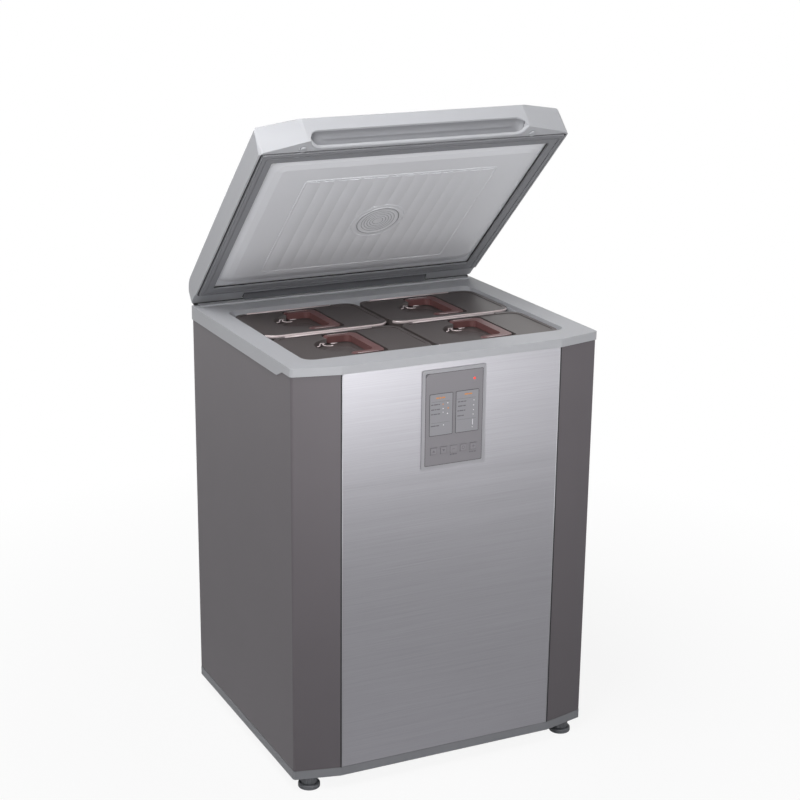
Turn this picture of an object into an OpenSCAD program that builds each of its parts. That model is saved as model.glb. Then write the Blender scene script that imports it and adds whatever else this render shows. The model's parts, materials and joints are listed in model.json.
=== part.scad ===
// Kimchi refrigerator of the top-opening kind: one insulated well with two
// layers of four containers, closed by a hinged lid. Millimetres, +Z up, the
// front faces -Y, and the floor under the middle of the footprint is the origin.
// The lid is drawn held part open; turning it about its hinge closes it.

/* [Cabinet] */
// Width over the top rim and the lid
body_w = 600; // [560:5:680]
// Depth of the straight side walls
side_d = 482; // [460:2:540]
// How far the middle of the front stands ahead of the front corners
bow = 20; // [12:1:28]
// Height of the top rim above the floor
rim_z = 792; // [760:2:860]
// Width of the flat middle panel
front_w = 428; // [400:2:450]
// Thickness of the steel sheets
sheet_t = 1.2; // [0.8:0.1:1.6]
// Height of the machine space under the insulation
machine_h = 170; // [165:1:180]
// How far the rear cover stands out behind the back
cover_out = 18; // [15:1:30]

/* [Well] */
// From each side to the opening in the top rim
open_side = 43; // [40:1:50]
// From the middle of the front to the opening
open_front = 56; // [50:1:60]
// From the rear of the side walls to the opening
open_rear = 71; // [69:1:76]
// Corner radius of the opening
open_r = 22; // [15:1:30]
// Corner radius of the well below it
well_r = 12; // [6:1:14]
// Thickness of the well's liner
liner_t = 1.5; // [1:0.1:2]

/* [Lid] */
// How far the lid is held open in this pose, in degrees
lid_open = 43.5; // [0:0.5:80]
// Height of the lid above the rim at its front
lid_h = 56; // [50:1:64]
// How much lower the lid is at its rear
lid_fall = 8; // [4:1:12]
// How much narrower the lid is at its top, on each side
lid_taper = 4; // [0:1:8]
// Wall of the lid's outer shell
lid_wall = 3; // [2.5:0.1:3.5]
// Radius of the finger groove along the lid's front edge
grip_r = 20; // [16:1:22]
// Length of the finger groove
grip_l = 420; // [360:5:420]
// Diameter of the round vent cap under the lid
vent_d = 88; // [70:1:100]
// Number of stiffening ribs under the lid
rib_count = 14; // [8:1:16]

/* [Hinge] */
// Height of the hinge axis above the rim
hinge_up = 16; // [15:0.5:18]
// Radius of the hinge pins
pin_r = 4; // [3:0.5:5]
// Length of the hinge housing between the lid's two lugs
housing_l = 390; // [340:2:400]

/* [Containers] */
// Space between the left and the right containers
box_mid = 7; // [5:0.5:12]
// Space between a container and the side of the well
box_side = 2.5; // [2:0.5:6]
// Wall of a container
box_wall = 2; // [1.5:0.1:3]
// Reach of a carrying handle from its pivot
handle_reach = 56; // [50:1:58]
// Length of a latch
latch_l = 176; // [140:2:180]

/* [Control panel] */
// Width of the control panel
panel_w = 125; // [116:1:140]
// Height of the control panel
panel_h = 180; // [176:1:190]
// From the rim down to the control panel
panel_down = 27; // [25:1:60]
// Side of a key
key_w = 12.5; // [10:0.5:14]
// Distance between keys
key_pitch = 19.5; // [18:0.5:20]
// How far a key travels
key_travel = 0.6; // [0.4:0.1:0.8]

/* [Base] */
// Height of the levelling feet up to the base ring
foot_h = 25; // [24:1:34]
// Height of the base ring
ring_h = 16.5; // [14:0.5:22]
// Radius of a foot's pad
foot_r = 20; // [16:1:22]
// Radius of a rear roller
roller_r = 12.5; // [11:0.5:12.5]

/* [Hidden] */
$fn = 48;
FINE = 96;
EPS = 0.01;
OVER = 1;          // how far a cutting shape runs past what it cuts
GAP = 0.2;         // between pieces of one assembly
RUN = 0.06;        // radial play of a pin in its bore
MOVE = 0.4;        // play beside a piece that turns
ARC = 6;           // segments in a rounded corner
W2 = body_w / 2;
F2 = front_w / 2;

// plan of the cabinet, from the front
y_front = -(side_d + bow + cover_out) / 2;
y_corner = y_front + bow;
y_rear = y_corner + side_d;
y_back = y_rear + cover_out;
plan_r = [4, 4, 7, 4, 4, 7];   // corner radii of the plan, in the order of PLAN
PLAN = [[-F2, y_front], [F2, y_front], [W2, y_corner],
        [W2, y_rear], [-W2, y_rear], [-W2, y_corner]];

// cabinet heights
ring_top = foot_h + ring_h;
pan_z = foot_h + 2;
pan_t = 2;
pan_top = pan_z + pan_t;
foam_z = pan_top + machine_h;
floor_foam = 40;
floor_z = foam_z + floor_foam + liner_t;   // inside bottom of the well
panel_in = 2;      // outer sheets sit this far inside the rim's edge
foam_in = panel_in + sheet_t + 0.4;
seam = 0.8;        // open line between front panel and side panels
hem = 12;          // folded edge of a sheet

// top rim
rim_t = 3.2;
skirt_t = 1.8;
lip_front = 15;
lip_side = 26;
lip_step_y = y_corner + 36;   // where the side lip starts to become deeper
lip_slope = 26;               // length of that transition
skirt_in_h = 24;
step_h = 9;
step_in = 3;
ledge_h = 3;
ledge_d = 19;
ledge_l = body_w - 24;
open_w = body_w - 2 * open_side;
open_y0 = y_front + open_front;
open_y1 = y_rear - open_rear;
open_d = open_y1 - open_y0;
OPENING = [[-open_w / 2, open_y0], [open_w / 2, open_y0],
           [open_w / 2, open_y1], [-open_w / 2, open_y1]];

// hinge
hinge_y = y_rear + 2;
hinge_z = rim_z + hinge_up;
barrel_r = hinge_up - ledge_h - 1.5;
pin_in = 18;       // length of a pin inside the housing
pin_out = 20;      // length of a pin inside the lid's lug
lug_w = 30;

// lid, in heights above the rim when it is closed
lid_y1 = y_rear + 9;
LID_PLAN = [PLAN[0], PLAN[1], PLAN[2], [W2, lid_y1], [-W2, lid_y1], PLAN[5]];
lid_edge = 3;
lid_rear_edge = 6;
lid_front_edge = 8.5;  // lower edge at the middle of the front
seat_y1 = y_rear - 23; // rear end of the gasket's seat
lid_top_r = 26;        // rounding along the rear top edge
grip_up = 10;
flange_z = 6;
flange_t = 2.5;
plug_out = 12;         // how far the liner's slope reaches over the rim
plug_mid = 0.8;        // height of the slope's break, just inside the opening
plug_low = -1.5;       // height of the plug's face
plug_in = 14;          // how far the plug's sides slope in
plug_edge = 1.5;
plug_wall = 2.2;
rib_l = open_d - 87;
rib_field = open_w - 144;      // width of the ribbed field
rib_pitch = rib_field / rib_count;
rib_rise = 1.1;
rib_r = (pow(rib_pitch / 2, 2) + pow(rib_rise, 2)) / (2 * rib_rise);   // arcs that just meet
vent_y = (open_y0 + open_y1) / 2 + 12.5;
gasket_w = 23;
bump_r = 6;
bump_z = rim_z + lid_edge + 1.3;   // top of a bumper, inside the shell
gasket_low = 0.5;
seat_y0 = y_corner + lid_wall + 0.5;
SEAT = [[-W2 + 6, seat_y0], [W2 - 6, seat_y0], [W2 - 6, seat_y1], [-W2 + 6, seat_y1]];

// containers
top_gap = 4.5;         // from the rim down to the upper containers
box_h = (rim_z - top_gap - floor_z) / 2 - 0.3;
plate_t = 16.8;        // thickness of a container's lid
tub_h = box_h - plate_t - 0.2;
well_x = open_w / 2 - step_in;
well_y0 = open_y0 + step_in;
well_y1 = open_y1 - step_in;
row_pitch = (well_y1 - well_y0) / 2;
latch_room = 16;       // what a row leaves for the latches behind it
row_shift = 5;
box_w = well_x - box_side - box_mid / 2;
box_d = row_pitch - latch_room;
box_x = (box_w + box_mid) / 2;
row_y = [well_y1 - row_pitch / 2 - row_shift, well_y0 + row_pitch / 2 - row_shift];
low_z = floor_z + 0.3;
top_z = low_z + box_h + 0.3;
CELLS = [["rear_left", -box_x, row_y[0]], ["rear_right", box_x, row_y[0]],
         ["front_left", -box_x, row_y[1]], ["front_right", box_x, row_y[1]]];
flange_h = 6;
flange_in = 3;         // the tub's flange ends this far inside the lid's edge
skirt_h = 7;           // height of the lid's skirt round that flange
box_r = 26;            // corner radius of a container's lid
tub_r = 20;            // and of the tub's walls under it
ring_in = 11;          // the locating ring stands this far inside the lid's edge
lid_z = tub_h + 0.2;   // underside of the container's lid
lid_top = box_h;
well_d = 14.2;         // depth of the handle's pocket in the lid
handle_l = box_d - 34;
handle_y = 3;          // the handle's middle, behind the container's
pivot_x = -20;
pocket_x0 = pivot_x - 10;
pocket_x1 = pivot_x + handle_reach + 5;
pocket_y = handle_l / 2 + 4;       // half of its depth
handle_t = 12;
pivot_z = lid_top - handle_t / 2 - 1;
arm_w = 14;
bar_w = 16;
handle_pin = 2.5;
dish_x = -24;          // a round dish joins the pocket, with a disc on its floor
dish_r = 45;
disc_r = 38;
latch_x = -10;
latch_y = box_d / 2 - 3;
latch_z = lid_top - 5.5;
latch_r = 3;
latch_pin = 1.5;
latch_t = 2.6;
latch_drop = 21;
latch_hook = 3;

// control panel
panel_z1 = rim_z - panel_down;
panel_z0 = panel_z1 - panel_h;
panel_zc = (panel_z0 + panel_z1) / 2;
face_y = y_front + panel_in;       // front of the steel panel
bezel_out = 2.4;
bezel_w = 6.5;
tray_in = 4.5;                     // the tray is this much smaller than the bezel
tray_d = 26;
tray_t = 2;
overlay_t = 1.6;
window_w = 44.4;
window_h = 75;
window_x = 25.6;
window_up = 45;                    // from the panel's lower edge to the keys' line
window_z = panel_z0 + 98.5;
key_z = panel_z0 + 32.5;
key_h = 3;
led_x = 39;
led_z = panel_z1 - 23.5;
led_r = 2.2;
board_t = 1.6;
board_y = face_y + 14;
KEYS = [for (i = [-2:2]) i * key_pitch];

// base
foot_x = W2 - 37;
foot_y = y_corner + 14;
stem_r = 5;
boss_r = 11;       // socket round a foot's stem
roller_x = 190;
roller_y = y_rear - 44;
roller_w = 16;
axle_r = 3;
bracket_t = 2;

// machine space
comp_x = 130;
comp_y = 120;
comp_r = 62;
comp_h = 128;
cover_y = y_rear - panel_in + 0.1;
cover_z1 = foam_z + 8;
screw_r = 2;
SCREWS = [for (s = [-1, 1], z = [ring_top + 12, foam_z - 22]) [s * (W2 - panel_in - hem / 2), z],
          for (x = [-150, 0, 150]) [x, foam_z + 2]];
inlet_x = W2 - 45;
inlet_z = ring_top + 27;
inlet_r = 7;
inlet_bore = 4.2;
mount_x = 78;
mount_y = 60;
mount_h = 10;
comp_z = pan_top + mount_h + GAP;
coil_x0 = -250;
coil_x1 = -60;
coil_y = y_rear - 40;
coil_pitch = 20;
coil_rows = 6;
coil_z = pan_top + 28;
line_r = 3;
tube_r = 4;
turns = 5;
turn_z = floor_z + 60;
turn_pitch = 100;
riser_x = 60;
liner_in = step_in - 0.5;              // the liner stands a little outside the rim's skirt
coil_out = tube_r + GAP - (liner_in - liner_t);

// ---- outlines ----

// inward normal of the edge from a to b of an anticlockwise outline
function edge_normal(a, b) = [a[1] - b[1], b[0] - a[0]] / norm(b - a);

// an outline moved inward by d on every edge
function inset(p, d) = let (n = len(p)) [for (i = [0:n - 1])
    let (u = edge_normal(p[(i + n - 1) % n], p[i]), v = edge_normal(p[i], p[(i + 1) % n]))
    p[i] + (u + v) * d / (1 + u * v)];

// the arc that rounds corner b between its neighbours a and c
function corner_arc(a, b, c, r) =
    let (u = (a - b) / norm(a - b), v = (c - b) / norm(c - b), half = acos(u * v) / 2,
         m = b + (u + v) / norm(u + v) * r / sin(half),
         s = b + u * r / tan(half) - m, e = b + v * r / tan(half) - m,
         a0 = atan2(s[1], s[0]), sweep = (atan2(e[1], e[0]) - a0 + 540) % 360 - 180)
    [for (k = [0:ARC]) m + r * [cos(a0 + sweep * k / ARC), sin(a0 + sweep * k / ARC)]];

// an outline with rounded corners: r is one radius, or one for each corner
function rounded(p, r) = let (n = len(p)) [for (i = [0:n - 1])
    let (ri = is_list(r) ? r[i] : r)
    each ri <= 0 ? [p[i]] : corner_arc(p[(i + n - 1) % n], p[i], p[(i + 1) % n], ri)];

function box_plan(w, d) = [[-w / 2, -d / 2], [w / 2, -d / 2], [w / 2, d / 2], [-w / 2, d / 2]];
function cabinet_plan(d) = rounded(inset(PLAN, d), [for (r = plan_r) max(r - d, 0.8)]);
function opening_plan(d) = rounded(inset(OPENING, d), open_r - d);
function well_plan(d) = rounded(inset(OPENING, d), well_r - d);

module slab(p, z0, z1) { translate([0, 0, z0]) linear_extrude(z1 - z0) polygon(p); }
module block(a, b) { translate(a) cube(b - a); }
module prism_x(p, x0, x1) {
    translate([x0, 0, 0]) rotate([90, 0, 90]) linear_extrude(x1 - x0) polygon(p);
}
module prism_y(p, y0, y1) {
    translate([0, y1, 0]) rotate([90, 0, 0]) linear_extrude(y1 - y0) polygon(p);
}
module rod_x(x0, x1, y, z, r) { translate([x0, y, z]) rotate([0, 90, 0]) cylinder(x1 - x0, r = r); }
module rod_y(y0, y1, x, z, r) { translate([x, y1, z]) rotate([90, 0, 0]) cylinder(y1 - y0, r = r); }
module rod_z(z0, z1, x, y, r) { translate([x, y, z0]) cylinder(z1 - z0, r = r); }
module mirrored() { children(); mirror([1, 0, 0]) children(); }

// a tube through the points p, with rounded elbows
module pipe(p, r) {
    for (i = [0:len(p) - 2]) let (d = p[i + 1] - p[i], l = norm(d))
        translate(p[i]) rotate([0, acos(d[2] / l), atan2(d[1], d[0])]) cylinder(l, r = r);
    for (i = [1:len(p) - 2]) translate(p[i]) sphere(r);
}

// ---- cabinet ----

module side_panel() {
    x0 = F2 + seam / 2;
    y1 = y_rear - panel_in;
    difference() {
        slab(cabinet_plan(panel_in), ring_top, rim_z - rim_t - GAP);
        slab(cabinet_plan(panel_in + sheet_t), ring_top - OVER, rim_z);
        block([-W2, y_front - OVER, 0], [x0, y_back, rim_z]);
        block([-W2, y1 - sheet_t, 0], [W2 - panel_in - hem, y_back, rim_z]);
        screw_holes();
    }
    block([x0, face_y + 0.5, ring_top], [x0 + sheet_t, face_y + hem, rim_z - rim_t - GAP]);
}

module side_panel_right() { color([0.44, 0.42, 0.44]) side_panel(); }
module side_panel_left() { color([0.44, 0.42, 0.44]) mirror([1, 0, 0]) side_panel(); }

module front_panel() {
    x1 = F2 - seam / 2;
    z1 = rim_z - rim_t - GAP;
    color([0.70, 0.70, 0.72]) difference() {
        union() {
            block([-x1, face_y, ring_top], [x1, face_y + sheet_t, z1]);
            mirrored() block([x1 - sheet_t, face_y, ring_top], [x1, face_y + hem, z1]);
        }
        block([-panel_w / 2 + tray_in - GAP, face_y - OVER, panel_z0 + tray_in - GAP],
              [panel_w / 2 - tray_in + GAP, face_y + hem, panel_z1 - tray_in + GAP]);
    }
}

module back_panel() {
    x1 = W2 - panel_in - hem - GAP;
    y1 = y_rear - panel_in;
    z0 = foam_z - 4;
    z1 = rim_z - lip_side - 1;
    rib_w = 14;
    color([0.55, 0.55, 0.57]) difference() {
        block([-x1, y1 - sheet_t, z0], [x1, y1, z1]);
        // pressed-in stiffening grooves
        for (x = [-200, -100, 0, 100, 200])
            block([x - rib_w / 2, y1 - sheet_t / 2, z0 + 60], [x + rib_w / 2, y1 + OVER, z1 - 60]);
        screw_holes();
    }
}

module outer_skirt(drop) {
    difference() {
        slab(cabinet_plan(0), rim_z - drop, rim_z - rim_t + EPS);
        slab(cabinet_plan(skirt_t), rim_z - drop - OVER, rim_z);
    }
}

module top_rim() {
    wall = 2.5;
    color([0.72, 0.72, 0.74]) {
        difference() {
            slab(cabinet_plan(0), rim_z - rim_t, rim_z);
            slab(opening_plan(0), rim_z - rim_t - OVER, rim_z + OVER);
        }
        outer_skirt(lip_front);
        // the side lip is deeper behind a short slope
        intersection() {
            outer_skirt(lip_side);
            prism_x([[lip_step_y, rim_z - lip_front - EPS], [lip_step_y + lip_slope, rim_z - lip_side - OVER],
                     [y_back, rim_z - lip_side - OVER], [y_back, rim_z], [lip_step_y, rim_z]],
                    -W2 - OVER, W2 + OVER);
        }
        difference() {
            slab(opening_plan(-wall), rim_z - skirt_in_h, rim_z - rim_t + EPS);
            slab(opening_plan(0), rim_z - step_h, rim_z);
            slab(opening_plan(step_in), rim_z - skirt_in_h - OVER, rim_z);
        }
        block([-ledge_l / 2, y_rear - OVER - ledge_d, rim_z - EPS],
              [ledge_l / 2, y_rear - OVER, rim_z + ledge_h]);
    }
}

module inner_liner() {
    color([0.78, 0.78, 0.80]) difference() {
        slab(well_plan(liner_in - liner_t), floor_z - liner_t, rim_z - skirt_in_h - GAP);
        slab(well_plan(liner_in), floor_z, rim_z);
    }
}

module tube_turn(z) {
    r = well_r + coil_out;
    x = open_w / 2 - well_r;
    y0 = open_y0 + well_r;
    y1 = open_y1 - well_r;
    for (s = [-1, 1]) rod_y(y0, y1, s * (x + r), z, tube_r);
    rod_x(-x, x, y0 - r, z, tube_r);
    rod_x(-x, x, y1 + r, z, tube_r);
    for (c = [[x, y1, 0], [-x, y1, 90], [-x, y0, 180], [x, y0, 270]])
        translate([c[0], c[1], z]) rotate([0, 0, c[2]]) rotate_extrude(angle = 90)
            translate([r, 0]) circle(tube_r);
}

module cooling_coil() {
    color([0.80, 0.55, 0.35]) {
        for (i = [0:turns - 1]) tube_turn(turn_z + i * turn_pitch);
        rod_z(turn_z, turn_z + (turns - 1) * turn_pitch, riser_x, open_y1 + coil_out, tube_r);
    }
}

module cabinet_foam() {
    room = 2 * tube_r + 2 * GAP;
    y0 = open_y1 - 3;
    color([0.86, 0.80, 0.60]) difference() {
        slab(cabinet_plan(foam_in), foam_z, rim_z - lip_side);
        slab(well_plan(liner_in - liner_t - GAP), floor_z - liner_t - GAP, rim_z);
        for (i = [0:turns - 1])
            slab(well_plan(liner_in - liner_t - GAP - room),
                 turn_z + i * turn_pitch - room / 2, turn_z + i * turn_pitch + room / 2);
        block([riser_x - room / 2, y0, turn_z],
              [riser_x + room / 2, open_y1 + room, turn_z + turns * turn_pitch]);
        block([-panel_w / 2 + tray_in - MOVE, y_front, panel_z0 + tray_in - MOVE],
              [panel_w / 2 - tray_in + MOVE, face_y + tray_d + MOVE, panel_z1 - tray_in + MOVE]);
        // room for the folded edges of the front sheets
        mirrored() block([F2 - 3, y_front, 0], [F2 + 3, face_y + hem + MOVE, rim_z]);
        mirrored() block([W2 - panel_in - hem - 2, y_rear - 6, 0], [W2, y_rear, rim_z]);
    }
}

module base_ring() {
    color([0.66, 0.66, 0.68]) difference() {
        slab(cabinet_plan(1.5), foot_h, ring_top - GAP);
        slab(cabinet_plan(14), foot_h - OVER, ring_top);
        mirrored() rod_z(foot_h - OVER, ring_top, foot_x, foot_y, boss_r + GAP);
    }
}

module base_pan() {
    color([0.45, 0.45, 0.47]) difference() {
        union() {
            slab(cabinet_plan(14 + GAP), pan_z, pan_top);
            for (s = [-1, 1]) rod_z(pan_z, pan_top + 12, s * foot_x, foot_y, boss_r);
        }
        for (s = [-1, 1]) rod_z(0, pan_top + 20, s * foot_x, foot_y, stem_r + RUN);
        for (x = [-mount_x, mount_x], y = [-mount_y, mount_y])
            rod_z(0, rim_z, comp_x + x, comp_y + y, 3.2);
    }
}

module foot() {
    pad_h = 9;
    collar_r = 15;
    collar_z = foot_h - 1.5;
    color([0.42, 0.42, 0.44]) translate([foot_x, foot_y, 0]) {
        rotate_extrude() polygon(rounded([[0, 0], [foot_r, 0], [foot_r, pad_h], [0, pad_h]],
                                         [0, 1.5, 2.5, 0]));
        difference() {
            cylinder(collar_z, r = collar_r);
            for (a = [0:30:330]) rotate([0, 0, a]) translate([collar_r + 1, 0, pad_h])
                cylinder(foot_h, r = 2.2, $fn = 16);
        }
        cylinder(pan_top + 16, r = stem_r);
    }
}
module foot_right() foot();
module foot_left() mirror([1, 0, 0]) foot();

module roller_brackets() {
    inner = roller_w / 2 + MOVE;
    color([0.50, 0.50, 0.52]) for (s = [-1, 1]) translate([s * roller_x, roller_y, 0]) {
        for (e = [-1, 1])
            translate([e * (inner + bracket_t / 2) - bracket_t / 2, -8, roller_r - 6])
                cube([bracket_t, 16, pan_z - GAP - roller_r + 6]);
        difference() {
            translate([-inner - bracket_t, -14, pan_z - GAP - 1.2])
                cube([2 * (inner + bracket_t), 28, 1.2]);
            translate([-inner, -roller_r, 0]) cube([2 * inner, 2 * roller_r, pan_z]);
        }
        rod_x(-inner - bracket_t, inner + bracket_t, 0, roller_r, axle_r);
    }
}

module roller() {
    color([0.18, 0.18, 0.19]) translate([roller_x, roller_y, roller_r]) rotate([0, 90, 0])
        rotate_extrude() polygon(rounded(
            [[axle_r + RUN, -roller_w / 2], [roller_r, -roller_w / 2],
             [roller_r, roller_w / 2], [axle_r + RUN, roller_w / 2]], [0, 1.5, 1.5, 0]));
}
module roller_right() roller();
module roller_left() mirror([1, 0, 0]) roller();

// ---- machine space ----

module compressor() {
    color([0.13, 0.13, 0.14]) translate([comp_x, comp_y, comp_z]) {
        translate([0, 0, 3]) rotate_extrude() polygon(rounded(
            [[0, 0], [comp_r, 0], [comp_r, comp_h], [0, comp_h]], [0, 26, 34, 0]));
        difference() {
            for (s = [-1, 1]) rotate([0, 0, s * atan2(mount_y, mount_x)])
                translate([-norm([mount_x, mount_y]) - 12, -12, 0])
                    cube([2 * norm([mount_x, mount_y]) + 24, 24, 3 + EPS]);
            for (x = [-mount_x, mount_x], y = [-mount_y, mount_y])
                rod_z(-OVER, 5, x, y, 4);
        }
        translate([comp_r - 6, -20, 45]) cube([16, 40, 40]);
    }
}

module compressor_mounts() {
    color([0.15, 0.15, 0.15]) for (x = [-mount_x, mount_x], y = [-mount_y, mount_y])
        translate([comp_x + x, comp_y + y, pan_top]) difference() {
            cylinder(mount_h, r = 9);
            translate([0, 0, -OVER]) cylinder(mount_h + 2 * OVER, r = 3.2);
            translate([0, 0, mount_h / 2]) rotate_extrude() translate([11, 0]) circle(3.2);
        }
}

module condenser() {
    z1 = coil_z + (coil_rows - 1) * coil_pitch;
    color([0.12, 0.12, 0.13]) {
        for (i = [0:coil_rows - 1])
            rod_x(coil_x0, coil_x1, coil_y, coil_z + i * coil_pitch, line_r);
        for (i = [0:coil_rows - 2]) let (right = i % 2 == 0)
            translate([right ? coil_x1 : coil_x0, coil_y, coil_z + (i + 0.5) * coil_pitch])
                rotate([90, 0, 0]) rotate([0, 0, right ? -90 : 90]) rotate_extrude(angle = 180)
                    translate([coil_pitch / 2, 0]) circle(line_r);
        // two legs that stand on the pan
        for (x = [coil_x0 + 12, coil_x1 - 12])
            block([x - 6, coil_y - 1, pan_top], [x + 6, coil_y + 1, z1 + 6]);
    }
}

dry_x = -20;
dry_y = y_rear - 60;
dry_z0 = pan_top + 50;
dry_z1 = dry_z0 + 80;

module dryer() {
    color([0.72, 0.45, 0.28]) translate([dry_x, dry_y, dry_z0]) rotate_extrude()
        polygon([[0, 0], [3, 0], [3, 6], [10, 14], [10, 66], [3, 74], [3, 80], [0, 80]]);
}

module refrigerant_lines() {
    z1 = coil_z + (coil_rows - 1) * coil_pitch;
    side = comp_x - comp_r - 1;
    color([0.72, 0.45, 0.28]) {
        // hot gas, from the compressor to the top of the condenser
        pipe([[side, comp_y, comp_z + 80], [side - 20, comp_y, comp_z + 80],
              [side - 20, comp_y, z1 + 22], [coil_x0 - 12, comp_y, z1 + 22],
              [coil_x0 - 12, coil_y, z1 + 22], [coil_x0 - 12, coil_y, z1],
              [coil_x0 - GAP, coil_y, z1]], line_r);
        // liquid, from the condenser's lowest tube to the dryer
        pipe([[coil_x0 - GAP, coil_y, coil_z], [coil_x0 - 12, coil_y, coil_z],
              [coil_x0 - 12, coil_y - 40, coil_z], [dry_x, coil_y - 40, coil_z],
              [dry_x, dry_y, coil_z], [dry_x, dry_y, dry_z0 - GAP]], line_r);
        // thin tube up to the cooling coil, and the cold return
        pipe([[dry_x, dry_y, dry_z1 + GAP], [dry_x, dry_y, foam_z - 2]], 2);
        pipe([[comp_x, comp_y - comp_r - 1, comp_z + 60], [comp_x, comp_y - comp_r - 16, comp_z + 60],
              [comp_x, comp_y - comp_r - 16, foam_z - 2]], line_r);
    }
}

module screw_holes() {
    for (p = SCREWS) rod_y(cover_y - hem, cover_y + hem, p[0], p[1], screw_r + 0.1);
}

// pressed steel, with a raised louvred field; it laps over the panels round it
module machine_cover() {
    z0 = ring_top + 3;
    x1 = W2 - panel_in - 2;
    bx = x1 - 65;
    bz0 = z0 + 10;
    bz1 = foam_z - 15;
    slot = 72;
    color([0.50, 0.50, 0.52]) difference() {
        union() {
            block([-x1, cover_y, z0], [x1, cover_y + sheet_t, cover_z1]);
            prism_x([[cover_y, bz0], [y_back - 4, bz0], [y_back, bz0 + 4], [y_back, bz1 - 8],
                     [cover_y, bz1]], -bx, bx);
        }
        prism_x([[cover_y - OVER, bz0 + sheet_t], [y_back - sheet_t - 4, bz0 + sheet_t],
                 [y_back - sheet_t, bz0 + sheet_t + 4], [y_back - sheet_t, bz1 - sheet_t - 8],
                 [cover_y - OVER, bz1 - sheet_t]], -bx + sheet_t, bx - sheet_t);
        for (i = [0:6], x = [-176, -88, 0, 88, 176])
            block([x - slot / 2, y_back - 4, bz0 + 16 + i * 15],
                  [x + slot / 2, y_back + OVER, bz0 + 21 + i * 15]);
        rod_y(cover_y - OVER, y_back, inlet_x, inlet_z, inlet_r + 0.1);
        screw_holes();
    }
}

// sheet-metal screws with a cross recess
module cover_screws() {
    y0 = cover_y + sheet_t;
    color([0.62, 0.62, 0.64]) for (p = SCREWS) translate([p[0], y0, p[1]]) rotate([-90, 0, 0])
        difference() {
            rotate_extrude() polygon([[0, -2.8], [screw_r, -2.8], [screw_r, 0], [4, 0], [4, 1], [3, 2.2], [0, 2.2]]);
            for (a = [0, 90]) rotate([0, 0, a]) translate([-2.2, -0.4, 1]) cube([4.4, 0.8, 2]);
        }
}

module power_inlet() {
    color([0.12, 0.12, 0.12]) translate([inlet_x, cover_y + sheet_t, inlet_z]) rotate([-90, 0, 0])
        rotate_extrude() polygon([[inlet_bore, -11], [inlet_r - 1, -11], [inlet_r, -8], [inlet_r, 0.1],
            [10, 0.1], [10, 3], [8, 6.5], [inlet_bore, 6.5]]);
}

// ---- control panel ----

module control_bezel() {
    x = panel_w / 2;
    color([0.70, 0.70, 0.72]) difference() {
        union() {
            prism_y(rounded([[-x, panel_z0], [x, panel_z0], [x, panel_z1], [-x, panel_z1]], 3),
                    face_y - bezel_out, face_y - 0.1);
            block([-x + tray_in, face_y - 1, panel_z0 + tray_in],
                  [x - tray_in, face_y + tray_d, panel_z1 - tray_in]);
        }
        // the overlay's seat, and the hollow tray behind it
        block([-x + bezel_w - GAP, face_y - bezel_out - OVER, panel_z0 + bezel_w - GAP],
              [x - bezel_w + GAP, face_y - bezel_out + overlay_t + GAP, panel_z1 - bezel_w + GAP]);
        block([-x + tray_in + tray_t + 2, face_y - bezel_out, panel_z0 + tray_in + tray_t + 2],
              [x - tray_in - tray_t - 2, face_y + tray_d - tray_t, panel_z1 - tray_in - tray_t - 2]);
    }
    // posts that carry the board
    color([0.70, 0.70, 0.72]) for (s = [-1, 1], z = [panel_z0 + 16, panel_z1 - 16])
        rod_y(board_y + board_t + 0.1, face_y + tray_d - tray_t + EPS, s * (x - 16), z, 3);
}

module window_hole(x, g, d) {
    translate([x, 0, window_z]) prism_y(rounded(box_plan(window_w + 2 * g, window_h + 2 * g), 1.5), d[0], d[1]);
}

module control_overlay() {
    x = panel_w / 2 - bezel_w;
    y0 = face_y - bezel_out;
    hole = key_w / 2 + MOVE;
    color([0.52, 0.51, 0.54]) difference() {
        prism_y(rounded([[-x, panel_z0 + bezel_w], [x, panel_z0 + bezel_w],
                         [x, panel_z1 - bezel_w], [-x, panel_z1 - bezel_w]], [2, 2, 2, 9]),
                y0, y0 + overlay_t);
        for (s = [-1, 1]) window_hole(s * window_x, 0.1, [y0 - OVER, y0 + 0.9]);
        for (k = KEYS) block([k - hole, y0 - OVER, key_z - hole], [k + hole, y0 + 5, key_z + hole]);
        rod_y(y0 - OVER, y0 + 5, led_x, led_z, led_r + 0.1);
    }
}

module display_windows() {
    y0 = face_y - bezel_out;
    color([0.62, 0.61, 0.64]) for (s = [-1, 1]) window_hole(s * window_x, 0, [y0 - 0.3, y0 + 0.8]);
    color([0.85, 0.15, 0.12]) rod_y(y0 - 0.5, y0 + overlay_t + 2, led_x, led_z, led_r);
}

module control_board() {
    x = panel_w / 2 - tray_in - tray_t - 3;
    z0 = panel_z0 + tray_in + tray_t + 3;
    z1 = panel_z1 - tray_in - tray_t - 3;
    switch_w = 6;
    y1 = face_y - bezel_out + overlay_t + key_travel + 4;
    color([0.10, 0.35, 0.20]) block([-x, board_y, z0], [x, board_y + board_t, z1]);
    color([0.15, 0.15, 0.16]) {
        for (k = KEYS) block([k - switch_w / 2, y1, key_z - switch_w / 2],
                             [k + switch_w / 2, board_y + EPS, key_z + switch_w / 2]);
        block([-20, board_y + board_t - EPS, panel_zc], [5, board_y + board_t + 3, panel_zc + 22]);
        block([-40, board_y + board_t - EPS, z0 + 30], [-26, board_y + board_t + 7, z0 + 60]);
        // display block behind the two windows
        block([-window_x - 20, face_y + 2, window_z - 34], [window_x + 20, board_y + EPS, window_z + 34]);
    }
}

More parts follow.
